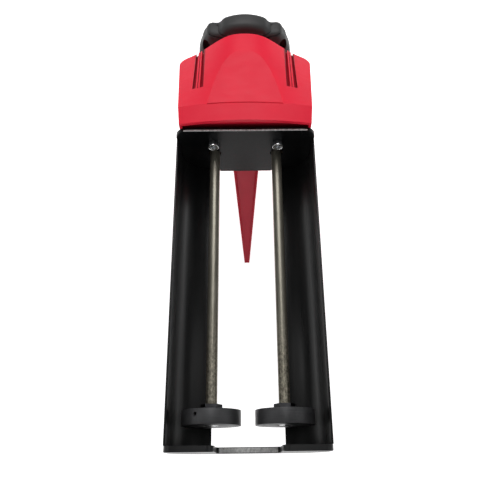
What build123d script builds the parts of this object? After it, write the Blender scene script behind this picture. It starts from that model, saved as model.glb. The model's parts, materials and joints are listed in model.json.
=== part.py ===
"""Manual caulking gun for a two-part cartridge, two tubes side by side.

A sheet-steel carriage holds the cartridge. Behind its rear plate a moulded housing holds the drive: the
trigger's cam pushes a drive plate, the drive plate pushes two rods, and the rods' discs press the two pistons
forward.

Frame: X across the gun, -Y towards the nozzle, +Z up. The origin is midway between the rod axes, at the front
face of the rear plate. Millimetres.
"""

import os

from build123d import *

os.makedirs("parts", exist_ok=True)

# ---------------------------------------------------------------- driving dimensions

# Carriage
frame_width = 108.0
carriage_length = 226.5
rail_top = 20.5
rail_wall = 1.5
rail_curl = 27.5
rear_plate_thickness = 3.0
rear_plate_top = 32.1
rear_plate_foot = -28.8
rear_plate_corner = 9.5
front_plate_thickness = 4.0
front_plate_overhang = 0.25
nozzle_notch_width = 44.0
nozzle_notch_floor = -14.0

# Rods, discs and yoke
rod_pitch = 50.0
rod_diameter = 8.0
running_clearance = 0.06
disc_diameter = 40.5
disc_thickness = 10.0
disc_front = -213.5
disc_edge = 0.35
disc_screw_head = 5.0
lock_nut_width = 13.0
lock_nut_thickness = 4.0
yoke_front = 99.0
yoke_depth = 16.0
yoke_half_width = 40.0
yoke_top = 36.7
yoke_screw_y = 107.0
yoke_screw_foot = -12.5

# Housing
housing_rear = 86.0
housing_half_width = 50.6
housing_rear_half_width = 56.0
housing_rear_corner = 7.0
housing_wall = 2.5
split_height = 6.0
body_floor = -24.0
lip_height = 42.0
lip_drop = 5.0
lip_depth = 2.4
lip_thickness = 3.0
band_end = 17.0
panel_half_width = 29.0
panel_raise = 0.6
panel_apex = 66.0

# Handle
handle_wall = 3.0
handle_stations = [
    # height, middle in Y, width in X, depth in Y
    (-18.0, 64.0, 38.0, 39.0),
    (-48.0, 68.5, 31.0, 37.0),
    (-84.0, 75.0, 30.0, 36.0),
    (-118.0, 81.5, 31.0, 38.0),
    (-140.0, 86.5, 35.0, 46.0),
]

# Trigger, drive and release
trigger_pivot = (30.0, -12.0)
trigger_hub_radius = 7.3
trigger_tip = (-49.0, -125.0)
trigger_root = (3.7, -35.5)
trigger_root_width = 21.8
trigger_tip_width = 4.8
trigger_hub_half_width = 11.3
cam_thickness = 9.0
rivet_radius = 1.5
rivet_places = ((21.0, -23.5), (29.0, -24.5))
drive_plate_rear = 37.8
drive_plate_thickness = 5.0
release_pivot = (67.5, 13.0)
release_plate_front = 66.0
release_plate_thickness = 3.0

# Fasteners
screw_head_diameter = 8.5
screw_head_height = 5.0
plate_screw_place = (25.5, 16.2)
plate_screw_radius = 2.5
side_screw_place = (8.0, -6.0)
small_screw_radius = 2.0
side_screw_head = 3.6
rear_screw_head = 3.9

# ---------------------------------------------------------------- helpers

rod_x = rod_pitch / 2
rod_radius = rod_diameter / 2
half_width = frame_width / 2
plate_screw_places = (plate_screw_place, (-plate_screw_place[0], plate_screw_place[1]))


def section(y):
    """Plane across the gun at the given Y; an extrude from it runs towards the nozzle."""
    return Plane.XZ.offset(-y)


def side_plane(x):
    """Plane along the gun at the given X, drawn in (Y, Z); an extrude from it runs towards +X."""
    return Plane.YZ.offset(x)


def save(piece, label):
    piece.part.label = label
    export_step(piece.part, f"parts/{label}.step")


def mirrored(piece):
    """The same piece on the gun's other side."""
    with BuildPart() as other:
        mirror(piece.part, about=Plane.YZ)
    return other


# ---------------------------------------------------------------- carriage

with BuildPart() as rear_plate:
    with BuildSketch(section(rear_plate_thickness)):
        with BuildLine():
            Polyline(
                (0, rear_plate_top),
                (half_width - rear_plate_corner, rear_plate_top),
            )
            corner_centre = (half_width - rear_plate_corner, rear_plate_top - rear_plate_corner)
            CenterArc(corner_centre, rear_plate_corner, 90, -90)
            Line((half_width, rear_plate_top - rear_plate_corner), (half_width, 0))
            CenterArc((half_width - rail_curl, 0), rail_curl, 0, -90)
            Line((half_width - rail_curl, -rail_curl), (0, -rail_curl))
            Line((0, -rail_curl), (0, rear_plate_top))
        make_face()
        foot_width = 2 * (half_width - rail_curl) - 7
        with Locations((0, rear_plate_foot + 4)):
            RectangleRounded(foot_width, 8, 2.5)
        mirror(about=Plane.YZ)
        # relief between the foot and the rails' curl
        relief_x = half_width - rail_curl - 1.6
        with Locations((relief_x, -rail_curl), (-relief_x, -rail_curl)):
            Circle(1.6, mode=Mode.SUBTRACT)
        with Locations((rod_x, 0), (-rod_x, 0)):
            Circle(rod_radius + 1.0, mode=Mode.SUBTRACT)
        with Locations(*plate_screw_places):
            Circle(plate_screw_radius + 0.25, mode=Mode.SUBTRACT)
    extrude(amount=rear_plate_thickness)
    front_edges = rear_plate.faces().sort_by(Axis.Y)[0].outer_wire().edges()
    fillet(front_edges, radius=0.4)
save(rear_plate, "rear_plate")

with BuildPart() as right_rail:
    with BuildSketch(section(0)):
        with BuildLine():
            inner_x = half_width - rail_wall
            curl_x = half_width - rail_curl
            inner_curl = rail_curl - rail_wall
            Line((half_width, rail_top), (half_width, 0))
            CenterArc((curl_x, 0), rail_curl, 0, -90)
            Line((curl_x, -rail_curl), (curl_x, -inner_curl))
            CenterArc((curl_x, 0), inner_curl, -90, 90)
            Line((inner_x, 0), (inner_x, rail_top))
            Line((inner_x, rail_top), (half_width, rail_top))
        make_face()
    extrude(amount=carriage_length)
    fillet(right_rail.edges().filter_by(Axis.Y).group_by(Axis.Z)[-1], radius=0.5)
save(right_rail, "right_rail")
left_rail = mirrored(right_rail)
save(left_rail, "left_rail")

front_plate_rear = -carriage_length
with BuildPart() as front_plate:
    with BuildSketch(section(front_plate_rear)) as front_outline:
        with BuildLine():
            edge_x = half_width + front_plate_overhang
            edge_curl = rail_curl + front_plate_overhang
            Line((0, rail_top), (edge_x, rail_top))
            Line((edge_x, rail_top), (edge_x, 0))
            CenterArc((half_width - rail_curl, 0), edge_curl, 0, -90)
            Line((half_width - rail_curl, -edge_curl), (0, -edge_curl))
            Line((0, -edge_curl), (0, rail_top))
        make_face()
        mirror(about=Plane.YZ)
        notch_height = rail_top - nozzle_notch_floor
        with Locations((0, nozzle_notch_floor + notch_height / 2)):
            Rectangle(nozzle_notch_width, notch_height, mode=Mode.SUBTRACT)
        top_corners = front_outline.vertices().group_by(Axis.Y)[-1]
        fillet(top_corners, radius=5)
        floor_corners = front_outline.vertices().filter_by(
            lambda v: abs(v.Y - nozzle_notch_floor) < 0.01
        )
        fillet(floor_corners, radius=3)
    extrude(amount=front_plate_thickness)
    front_plate_front = front_plate.faces().sort_by(Axis.Y)[0]
    fillet(front_plate_front.outer_wire().edges(), radius=0.6)
save(front_plate, "front_plate")

# ---------------------------------------------------------------- rods, discs and yoke

disc_rear = disc_front + disc_thickness
rod_front = disc_front + 4.5
rod_rear = yoke_front + yoke_depth - 4
disc_screw_radius = 2.5

for side, x in (("left", -rod_x), ("right", rod_x)):
    with BuildPart() as rod:
        with BuildSketch(section(rod_rear)):
            with Locations((x, 0)):
                Circle(rod_radius)
        extrude(amount=rod_rear - rod_front)
        chamfer(rod.edges().filter_by(GeomType.CIRCLE), length=0.5)
        with BuildSketch(section(rod_front)):
            with Locations((x, 0)):
                Circle(disc_screw_radius)
        extrude(amount=-12, mode=Mode.SUBTRACT)
    save(rod, f"{side}_rod")

    with BuildPart() as disc:
        with BuildSketch(section(disc_rear)):
            with Locations((x, 0)):
                Circle(disc_diameter / 2)
        extrude(amount=disc_thickness)
        chamfer(disc.edges().filter_by(GeomType.CIRCLE), length=disc_edge)
        # blind bore for the rod, then the countersunk hole for its screw
        with BuildSketch(section(disc_rear)):
            with Locations((x, 0)):
                Circle(rod_radius + 0.02)
        extrude(amount=disc_rear - rod_front, mode=Mode.SUBTRACT)
        with BuildSketch(section(disc_front)):
            with Locations((x, 0)):
                Circle(disc_screw_radius + 0.1)
        extrude(amount=-disc_thickness, mode=Mode.SUBTRACT)
        with BuildSketch(section(disc_front)):
            with Locations((x, 0)):
                Circle(disc_screw_head + 0.2)
        extrude(amount=-2.6, taper=45, mode=Mode.SUBTRACT)
    save(disc, f"{side}_thrust_disc")

with BuildPart() as lock_nuts:
    with BuildSketch(section(disc_rear + lock_nut_thickness)):
        with Locations((rod_x, 0), (-rod_x, 0)):
            RegularPolygon(lock_nut_width / 2, 6, major_radius=False)
            Circle(rod_radius + 0.02, mode=Mode.SUBTRACT)
    extrude(amount=lock_nut_thickness)
    with BuildSketch(section(disc_rear + lock_nut_thickness)):
        with Locations((rod_x, 0), (-rod_x, 0)):
            Circle(lock_nut_width / 2 + 1.3)
    extrude(amount=lock_nut_thickness, taper=10, mode=Mode.INTERSECT)
save(lock_nuts, "lock_nuts")


def countersunk_screw(radius, length, head_radius):
    """Countersunk screw with its flat top at Z 0 and its shank down -Z."""
    head_height = head_radius - radius
    with BuildPart() as screw:
        with BuildSketch(Plane.XZ):
            with BuildLine():
                Polyline(
                    (0, 0),
                    (head_radius, 0),
                    (radius, -head_height),
                    (radius, 0.5 - length),
                    (radius - 0.5, -length),
                    (0, -length),
                    close=True,
                )
            make_face()
        revolve(axis=Axis.Z)
        with BuildSketch(Plane.XY):
            RegularPolygon(radius * 0.62, 6, major_radius=False)
        extrude(amount=-radius * 0.8, mode=Mode.SUBTRACT)
    return screw


disc_screw = countersunk_screw(disc_screw_radius - 0.05, 15, disc_screw_head)
with BuildPart() as disc_screws:
    with Locations(*(Plane((x, disc_front + 0.15, 0), z_dir=(0, -1, 0)) for x in (-rod_x, rod_x))):
        add(disc_screw.part)
save(disc_screws, "disc_screws")

with BuildPart() as rear_yoke:
    yoke_rear = yoke_front + yoke_depth
    with BuildSketch(section(yoke_rear)):
        with BuildLine():
            ThreePointArc((0, yoke_top), (13, 34.1), (24.5, 26))
            Line((24.5, 26), (27.5, 27.6))
            ThreePointArc((27.5, 27.6), (36, 17.5), (yoke_half_width, 3))
            Line((yoke_half_width, 3), (yoke_half_width, -2))
            ThreePointArc((yoke_half_width, -2), (36.5, -9.8), (27, -13))
            Line((27, -13), (21, -13))
            ThreePointArc((21, -13), (15.5, -10.5), (13, -5))
            ThreePointArc((13, -5), (8.5, 4.5), (0, 8))
            Line((0, 8), (0, yoke_top))
        make_face()
        mirror(about=Plane.YZ)
    extrude(amount=yoke_depth)
    outline_edges = rear_yoke.edges().filter_by(lambda e: e.bounding_box().size.Y < 0.01)
    fillet(outline_edges, radius=4)
    # blind bores for the rods
    with BuildSketch(section(yoke_front)):
        with Locations((rod_x, 0), (-rod_x, 0)):
            Circle(rod_radius + 0.02)
    extrude(amount=-(rod_rear - yoke_front), mode=Mode.SUBTRACT)
    # finger hollows beside the bosses
    with BuildSketch(section(yoke_front)):
        with Locations((33, 13.5), (-33, 13.5)):
            Ellipse(3.2, 6.5)
    extrude(amount=-6, mode=Mode.SUBTRACT)
    # pairs of grooves where the dome meets its two ears
    for side in (1, -1):
        with BuildSketch(section(yoke_front)):
            for step in (0, 2.8):
                with Locations(Location((side * (18 + step), 23.5 - step * 0.3), side * 35)):
                    Rectangle(22, 1.1)
        extrude(amount=-5, mode=Mode.SUBTRACT)
    # set-screw holes down on to the rods
    with BuildSketch(Plane.XY.offset(-16)):
        with Locations((rod_x, yoke_screw_y), (-rod_x, yoke_screw_y)):
            Circle(2.05)
    extrude(amount=14, mode=Mode.SUBTRACT)
save(rear_yoke, "rear_yoke")

with BuildPart() as yoke_screws:
    with BuildSketch(Plane.XY.offset(yoke_screw_foot)):
        with Locations((rod_x, yoke_screw_y), (-rod_x, yoke_screw_y)):
            Circle(2.0)
    extrude(amount=-rod_radius - 0.05 - yoke_screw_foot)
    with BuildSketch(Plane.XY.offset(yoke_screw_foot)):
        with Locations((rod_x, yoke_screw_y), (-rod_x, yoke_screw_y)):
            RegularPolygon(1.0, 6, major_radius=False)
    extrude(amount=2, mode=Mode.SUBTRACT)
save(yoke_screws, "yoke_screws")

# ---------------------------------------------------------------- thrust block and its fittings

block_front = rear_plate_thickness
block_rear = 13.0
block_gap = 0.3
lug_inner = 11.8
lug_outer = 16.5
pivot_y, pivot_z = trigger_pivot
pivot_pin_radius = 3.0
bush_radius = 6.0
bush_flange_radius = 7.5

with BuildPart() as thrust_block:
    with BuildSketch(section(block_rear)):
        with BuildLine():
            block_half = housing_half_width - housing_wall - block_gap
            block_foot = body_floor + housing_wall + block_gap
            Polyline((0, 24), (42, 24), (block_half, 16), (block_half, 0))
            CenterArc((block_half + block_foot, 0), -block_foot, 0, -90)
            Polyline((block_half + block_foot, block_foot), (0, block_foot), (0, 24))
        make_face()
        mirror(about=Plane.YZ)
        # room for the trigger between the lugs
        with Locations((0, block_foot)):
            Rectangle(2 * lug_inner, 6.4, mode=Mode.SUBTRACT)
        with Locations((rod_x, 0), (-rod_x, 0)):
            Circle(bush_radius + 0.02, mode=Mode.SUBTRACT)
        with Locations(*plate_screw_places):
            Circle(plate_screw_radius + 0.02, mode=Mode.SUBTRACT)
    extrude(amount=block_rear - block_front)
    # lugs that carry the trigger's pin
    for x in (lug_inner, -lug_outer):
        with BuildSketch(side_plane(x)):
            with BuildLine():
                Polyline(
                    (block_rear - 1, -3),
                    (pivot_y, pivot_z + 9),
                    (pivot_y, pivot_z - 9),
                    (block_rear - 1, block_foot),
                    close=True,
                )
            make_face()
            with Locations(trigger_pivot):
                Circle(9)
                Circle(pivot_pin_radius + 0.02, mode=Mode.SUBTRACT)
        extrude(amount=lug_outer - lug_inner)
    # lightening pockets in the rear face
    with BuildSketch(section(block_rear)):
        with Locations((40, 3), (-40, 3)):
            RectangleRounded(8, 24, 3)
    extrude(amount=5, mode=Mode.SUBTRACT)
    # threads for the side screws
    for x, direction in ((-block_half, 1), (block_half, -1)):
        with BuildSketch(side_plane(x)):
            with Locations(side_screw_place):
                Circle(small_screw_radius + 0.02)
        extrude(amount=direction * 4.5, mode=Mode.SUBTRACT)
save(thrust_block, "thrust_block")

with BuildPart() as plate_screws:
    with BuildSketch(section(0)):
        with Locations(*plate_screw_places):
            Circle(screw_head_diameter / 2)
    extrude(amount=screw_head_height)
    head_front = plate_screws.faces().sort_by(Axis.Y)[0:2]
    chamfer(head_front.edges(), length=0.5)
    with BuildSketch(section(-screw_head_height)):
        with Locations(*plate_screw_places):
            RegularPolygon(2.0, 6, major_radius=False)
    extrude(amount=-2.8, mode=Mode.SUBTRACT)
    with BuildSketch(section(block_rear - 1)):
        with Locations(*plate_screw_places):
            Circle(plate_screw_radius)
    extrude(amount=block_rear - 1)
save(plate_screws, "plate_screws")

with BuildPart() as front_bushes:
    with BuildSketch(section(block_rear)):
        with Locations((rod_x, 0), (-rod_x, 0)):
            Circle(bush_radius)
            Circle(rod_radius + running_clearance, mode=Mode.SUBTRACT)
    extrude(amount=block_rear - block_front)
    with BuildSketch(section(block_rear + 2)):
        with Locations((rod_x, 0), (-rod_x, 0)):
            Circle(bush_flange_radius)
            Circle(rod_radius + running_clearance, mode=Mode.SUBTRACT)
    extrude(amount=2)
save(front_bushes, "front_bushes")

with BuildPart() as trigger_pin:
    with BuildSketch(side_plane(-lug_outer - 1)):
        with Locations(trigger_pivot):
            Circle(pivot_pin_radius)
    extrude(amount=2 * (lug_outer + 1))
    chamfer(trigger_pin.edges().filter_by(GeomType.CIRCLE), length=0.5)
save(trigger_pin, "trigger_pin")

# ---------------------------------------------------------------- drive plate and its springs

drive_plate_front = drive_plate_rear - drive_plate_thickness
with BuildPart() as drive_plate:
    with BuildSketch(section(drive_plate_rear)) as drive_outline:
        with Locations((0, 4.8)):
            Rectangle(67, 14.6)
        with Locations((rod_x + 2, 0), (-rod_x - 2, 0)):
            Rectangle(13, 18)
        with Locations((0, -6)):
            Rectangle(2 * (lug_outer + 3.6), 7, mode=Mode.SUBTRACT)
        fillet(drive_outline.vertices(), radius=1.5)
        with Locations((rod_x, 0), (-rod_x, 0)):
            Circle(rod_radius + running_clearance, mode=Mode.SUBTRACT)
    extrude(amount=drive_plate_thickness)
save(drive_plate, "drive_plate")


def coil_spring(start, direction, length, radius, wire, pitch):
    """Open coil spring along a direction from its start."""
    with BuildPart() as spring:
        with BuildLine() as path:
            Helix(pitch, length, radius, center=start, direction=direction)
        with BuildSketch(Plane(origin=path.line @ 0, z_dir=path.line % 0)):
            Circle(wire / 2)
        sweep(is_frenet=True)
    return spring


spring_wire = 1.2
spring_radius = 5.2
spring_front = block_rear + 2 + spring_wire / 2 + 0.1
spring_length = drive_plate_front - spring_wire / 2 - 0.1 - spring_front
for side, x in (("left", -rod_x), ("right", rod_x)):
    spring_start = (x, spring_front, 0)
    drive_spring = coil_spring(spring_start, (0, 1, 0), spring_length, spring_radius, spring_wire, 3.4)
    save(drive_spring, f"{side}_drive_spring")

# ---------------------------------------------------------------- trigger

tip_y, tip_z = trigger_tip
root_y, root_z = trigger_root
lever_length = ((root_y - tip_y) ** 2 + (root_z - tip_z) ** 2) ** 0.5
along = ((root_y - tip_y) / lever_length, (root_z - tip_z) / lever_length)
outward = (-along[1], along[0])
lean = (root_y - tip_y) / (root_z - tip_z)


def lever_point(height, depth):
    """Point on the lever's side outline at a height on its front face, set back by a depth."""
    y = root_y + lean * (height - root_z)
    return (y - outward[0] * depth, height - outward[1] * depth)


with BuildPart() as trigger:
    with BuildSketch(side_plane(-trigger_hub_half_width)):
        with BuildLine():
            Polyline(
                lever_point(tip_z, 0),
                lever_point(-19.2, 0),
                (pivot_y - 5, pivot_z + 5.3),
                (pivot_y + 7.2, pivot_z - 1),
                (pivot_y + 3, pivot_z - 11),
                lever_point(root_z - 6, 14),
                lever_point(tip_z, 8),
                close=True,
            )
        make_face()
        with Locations(trigger_pivot):
            Circle(trigger_hub_radius)
    extrude(amount=2 * trigger_hub_half_width)
    # narrows from the root to the tip, seen from the front
    tip_radius = trigger_tip_width / 2
    with BuildSketch(section(60)):
        with BuildLine():
            shoulder_z = -31.0
            Polyline(
                (-tip_radius, tip_z + tip_radius),
                (-trigger_hub_half_width, shoulder_z),
                (-trigger_hub_half_width, 0),
                (trigger_hub_half_width, 0),
                (trigger_hub_half_width, shoulder_z),
                (tip_radius, tip_z + tip_radius),
            )
            CenterArc((0, tip_z + tip_radius), tip_radius, 0, -180)
        make_face()
    extrude(amount=130, mode=Mode.INTERSECT)
    # recessed face between two side rims, shallower towards the tip
    recess_top = lever_point(root_z, 2.4)
    recess_foot = lever_point(tip_z, 0)
    fall = (recess_top[0] - recess_foot[0], recess_top[1] - recess_foot[1])
    recess_face = Plane(origin=(0, *recess_top), x_dir=(1, 0, 0), z_dir=(0, -fall[1], fall[0]))
    with BuildSketch(recess_face) as recess:
        with BuildLine():
            Polyline((-8.4, -3), (8.4, -3), (1.2, -101), (-1.2, -101), close=True)
        make_face()
        fillet(recess.vertices().group_by(Axis.Y)[-1], radius=4)
        fillet(recess.vertices().group_by(Axis.Y)[0], radius=1)
    extrude(amount=6, mode=Mode.SUBTRACT)
    # fork for the cam
    with BuildSketch(side_plane(-cam_thickness / 2 - 0.1)):
        with Locations((pivot_y + 1.5, -14)):
            Rectangle(33, 31.5)
    extrude(amount=cam_thickness + 0.2, mode=Mode.SUBTRACT)
    with BuildSketch(side_plane(-trigger_hub_half_width)):
        with Locations(trigger_pivot):
            Circle(pivot_pin_radius + running_clearance)
        with Locations(*rivet_places):
            Circle(rivet_radius + 0.02)
    extrude(amount=2 * trigger_hub_half_width, mode=Mode.SUBTRACT)
save(trigger, "trigger")

with BuildPart() as trigger_cam:
    with BuildSketch(side_plane(-cam_thickness / 2)) as cam_outline:
        with Locations(trigger_pivot):
            Circle(7.0)
        with BuildLine():
            Polyline(
                (pivot_y - 13, -28.5),
                (pivot_y - 10, -19.5),
                (pivot_y - 4, -7.5),
                (pivot_y + 8.2, -5.2),
                (pivot_y + 8.2, 2),
                (pivot_y + 15.5, 2),
                (pivot_y + 15.5, -13),
                (pivot_y + 7, -22),
                (pivot_y + 2, -28.5),
                close=True,
            )
        make_face()
        nose_corners = cam_outline.vertices().group_by(Axis.Y)[-1]
        fillet(nose_corners, radius=2.9)
        with Locations(trigger_pivot):
            Circle(pivot_pin_radius + running_clearance, mode=Mode.SUBTRACT)
        with Locations(*rivet_places):
            Circle(rivet_radius + 0.02, mode=Mode.SUBTRACT)
    extrude(amount=cam_thickness)
save(trigger_cam, "trigger_cam")

with BuildPart() as trigger_rivets:
    with BuildSketch(side_plane(-trigger_hub_half_width)):
        with Locations(*rivet_places):
            Circle(rivet_radius)
    extrude(amount=2 * trigger_hub_half_width)
save(trigger_rivets, "trigger_rivets")

# ---------------------------------------------------------------- rear block and release

rear_wall_front = housing_rear - housing_wall
rear_block_front = 72.0
rear_block_rear = rear_wall_front - 0.1
release_y, release_z = release_pivot
release_pin_radius = 2.0
release_lug_inner = 34.5
release_lug_outer = 38.0
rear_screw_places = ((12, 13), (-12, 13), (12, -5), (-12, -5))

with BuildPart() as rear_block:
    with BuildSketch(section(rear_block_rear)) as rear_outline:
        with Locations((0, -1)):
            Rectangle(72, 26)
        with Locations((0, 10)):
            Rectangle(40, 16)
        fillet(rear_outline.vertices(), radius=1.5)
        with Locations((rod_x, 0), (-rod_x, 0)):
            Circle(bush_radius + 0.02, mode=Mode.SUBTRACT)
        with Locations(*rear_screw_places):
            Circle(small_screw_radius + 0.02, mode=Mode.SUBTRACT)
    extrude(amount=rear_block_rear - rear_block_front)
    for x in (release_lug_inner - 1, -release_lug_outer):
        with BuildSketch(side_plane(x)):
            with Locations(release_pivot):
                Circle(4)
            with Locations((rear_block_front, 7)):
                Rectangle(9, 9)
            with Locations(release_pivot):
                Circle(release_pin_radius + 0.02, mode=Mode.SUBTRACT)
        extrude(amount=release_lug_outer - release_lug_inner + 1)
save(rear_block, "rear_block")

with BuildPart() as rear_bushes:
    with BuildSketch(section(rear_block_rear)):
        with Locations((rod_x, 0), (-rod_x, 0)):
            Circle(bush_radius)
            Circle(rod_radius + running_clearance, mode=Mode.SUBTRACT)
    extrude(amount=rear_block_rear - rear_block_front)
save(rear_bushes, "rear_bushes")

with BuildPart() as release_pin:
    with BuildSketch(side_plane(-release_lug_outer)):
        with Locations(release_pivot):
            Circle(release_pin_radius)
    extrude(amount=2 * release_lug_outer)
save(release_pin, "release_pin")

release_plate_rear = release_plate_front + release_plate_thickness
tab_rear = 96.0
tab_half_width = 8.0
with BuildPart() as release_plate:
    with BuildSketch(section(release_plate_rear)) as release_outline:
        with Locations((0, 1.5)):
            Rectangle(64, 22)
        fillet(release_outline.vertices(), radius=2)
        with Locations((0, -13)):
            Rectangle(2 * tab_half_width, 11)
        with Locations((rod_x, 0), (-rod_x, 0)):
            Circle(rod_radius + 0.45, mode=Mode.SUBTRACT)
    extrude(amount=release_plate_thickness)
    # tab that runs back under the rear block
    with BuildSketch(Plane.XY.offset(-18.5)):
        with Locations((0, (release_plate_front + tab_rear) / 2)):
            Rectangle(2 * tab_half_width, tab_rear - release_plate_front)
    extrude(amount=2)
    # rolled top edge for the pin, open in the middle for the spring
    for x in (-32, 6):
        with BuildSketch(side_plane(x)):
            with Locations(release_pivot):
                Circle(3.6)
        extrude(amount=26)
    with BuildSketch(section(release_y + 4)):
        with Locations((0, release_z)):
            Rectangle(12, 7.6)
    extrude(amount=8, mode=Mode.SUBTRACT)
    with BuildSketch(side_plane(-32)):
        with Locations(release_pivot):
            Circle(release_pin_radius + running_clearance)
    extrude(amount=64, mode=Mode.SUBTRACT)
save(release_plate, "release_plate")

with BuildPart() as release_pad:
    with BuildSketch(side_plane(-9)) as pad_outline:
        with Locations((96, -18)):
            Rectangle(5, 18)
        fillet(pad_outline.vertices(), radius=2.2)
    extrude(amount=18)
    fillet(release_pad.edges().filter_by(lambda e: e.bounding_box().size.X < 0.01), radius=1)
    with BuildSketch(Plane.XY.offset(-18.5)):
        with Locations((0, tab_rear - 2.5)):
            Rectangle(2 * tab_half_width, 5)
    extrude(amount=2, mode=Mode.SUBTRACT)
save(release_pad, "release_pad")

release_spring = coil_spring((-5, release_y, release_z), (1, 0, 0), 10, 2.9, 0.9, 1.6)
save(release_spring, "release_spring")

# ---------------------------------------------------------------- housing


def half_width_at(y):
    """The housing widens towards the rear."""
    share = (y - block_front) / (housing_rear - block_front)
    return housing_half_width + (housing_rear_half_width - housing_half_width) * share


def arch(x):
    """Height of the front lip above the rods, falling gently to each side."""
    return lip_height - lip_drop * (x / (housing_half_width - 1)) ** 2


def dome(x):
    """Height of the rear contour: a central dome between two sloping shoulders."""
    return lip_height / (1 + (abs(x) / 38) ** 2.66)


def housing_height(x, y):
    """Height of the cover's surface, without the raised panel."""
    if y <= band_end:
        return arch(x) + band_rise * max(0, y - block_front) / (band_end - block_front)
    share = (y - band_end) / (housing_rear - band_end)
    return (arch(x) + band_rise) * (1 - share) + dome(x) * share


def panel_height(x):
    """Height of the raised panel."""
    return housing_height(x, band_end) + panel_raise


band_rise = 2.5
outline_steps = [step / 8 for step in range(-8, 9)]


def cover_solid(y_front, y_rear, inset, drop, corner, base=split_height):
    """Solid under the cover's surface, moved in at the sides and down by the given amounts."""
    with BuildPart() as solid:
        for y in (y_front, band_end, y_rear):
            half = half_width_at(y) - inset
            with BuildSketch(section(y)):
                with BuildLine():
                    crest = [(half * s, housing_height(half * s, y) - drop) for s in outline_steps]
                    Spline(*crest)
                    Polyline(crest[-1], (half, base), (-half, base), crest[0])
                make_face()
        loft(ruled=True)
        if corner:
            upright = solid.edges().filter_by(Axis.Z).group_by(Axis.Y)[-1]
            fillet(upright, radius=corner)
    return solid


inner_corner = housing_rear_corner - housing_wall
front_wall_rear = block_front + lip_depth + housing_wall
cover_outer = cover_solid(block_front, housing_rear, 0, 0, housing_rear_corner)
cover_inner = cover_solid(front_wall_rear, rear_wall_front, housing_wall, housing_wall, inner_corner)

slot_front = 38.0
slot_rear = housing_rear + 5
slot_ribs = (36.35, 38.25)
slot_rib_width = 1.4
groove_depth = 2.8
cover_reach = 50.0


def slot_corners(grow):
    """Corners of the tapered slot on the right shoulder, open to the rear."""
    return [
        (32.8 - grow, slot_front - grow),
        (41.6 + grow, slot_front - grow),
        (40.6 + grow, slot_rear),
        (34.2 - grow, slot_rear),
    ]


# what the cover's slots reach down to, and the thicker wall under them
slot_bed = cover_solid(block_front, housing_rear + 6, 0, groove_depth, 0, base=-10)
slot_underside = cover_solid(block_front, housing_rear + 6, 0, groove_depth + housing_wall, 0, base=-10)

with BuildPart() as slot_pads:
    with BuildSketch(Plane.XY.offset(split_height)):
        Polygon(*slot_corners(housing_wall), align=None)
        mirror(about=Plane.YZ)
    extrude(amount=cover_reach)
    add(slot_underside.part, mode=Mode.SUBTRACT)

with BuildPart() as cover_cavity:
    add(cover_inner.part)
    add(slot_pads.part, mode=Mode.SUBTRACT)

with BuildPart() as slots:
    with BuildSketch(Plane.XY.offset(split_height)):
        Polygon(*slot_corners(0), align=None)
        # two flat ribs stand in each slot, a fine line apart
        for rib_x in slot_ribs:
            with Locations((rib_x, (slot_front + slot_rear) / 2)):
                Rectangle(slot_rib_width, slot_rear - slot_front, mode=Mode.SUBTRACT)
        mirror(about=Plane.YZ)
    extrude(amount=cover_reach)
    add(slot_bed.part, mode=Mode.SUBTRACT)

# raised panel: the front arch carried straight back inside a parabola
panel_crest_half = 40.0
with BuildPart() as panel:
    with BuildSketch(Plane.XY.offset(split_height + 20)):
        with BuildLine():
            legs = [
                (panel_half_width * s, panel_apex - (panel_apex - band_end) * abs(s) ** 2.6)
                for s in outline_steps
            ]
            Spline(*legs)
            Line(legs[-1], legs[0])
        make_face()
    extrude(amount=cover_reach)
    with BuildSketch(section(panel_apex)):
        with BuildLine():
            crest_points = [(panel_crest_half * s, panel_height(panel_crest_half * s)) for s in outline_steps]
            Spline(*crest_points)
            Polyline(crest_points[-1], (panel_crest_half, 0), (-panel_crest_half, 0), crest_points[0])
        make_face()
    extrude(amount=panel_apex - block_front, mode=Mode.INTERSECT)

with BuildPart() as housing_cover:
    add(cover_outer.part)
    add(panel.part)
    add(cover_cavity.part, mode=Mode.SUBTRACT)
    add(slots.part, mode=Mode.SUBTRACT)
    # the front wall stands back under the lip
    with BuildSketch(section(block_front + lip_depth)):
        with BuildLine():
            lip_half = housing_half_width - 2
            lip_points = [(lip_half * s, arch(lip_half * s) - lip_thickness) for s in outline_steps]
            Spline(*lip_points)
            Polyline(lip_points[-1], (lip_half, 0), (-lip_half, 0), lip_points[0])
        make_face()
    extrude(amount=lip_depth, mode=Mode.SUBTRACT)
    # the thrust block passes through the front wall
    with BuildSketch(section(front_wall_rear + 1)):
        Rectangle(2 * (housing_half_width - housing_wall), 2 * 24.3)
    extrude(amount=housing_wall + lip_depth + 1, mode=Mode.SUBTRACT)
    with BuildSketch(section(housing_rear)):
        with Locations(*rear_screw_places[:2]):
            Circle(small_screw_radius + 0.2)
    extrude(amount=housing_wall, mode=Mode.SUBTRACT)
    with BuildSketch(section(housing_rear)):
        with Locations(*rear_screw_places[:2]):
            Circle(rear_screw_head + 0.2)
    extrude(amount=1.9, taper=45, mode=Mode.SUBTRACT)
save(housing_cover, "housing_cover")

# lower housing and handle, one solid before it is split in two


def handle_solid(grow, top, bottom):
    """Handle as a loft through its stations, grown outwards by an amount, between two heights."""
    with BuildPart() as solid:
        for height, middle, width, depth in handle_stations:
            with BuildSketch(Plane.XY.offset(height)):
                with Locations((0, middle)):
                    Ellipse(width / 2 + grow, depth / 2 + grow)
        loft()
        if (top, bottom) != (handle_stations[0][0], handle_stations[-1][0]):
            split(bisect_by=Plane.XY.offset(top), keep=Keep.BOTTOM)
            split(bisect_by=Plane.XY.offset(bottom), keep=Keep.TOP)
    return solid


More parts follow.
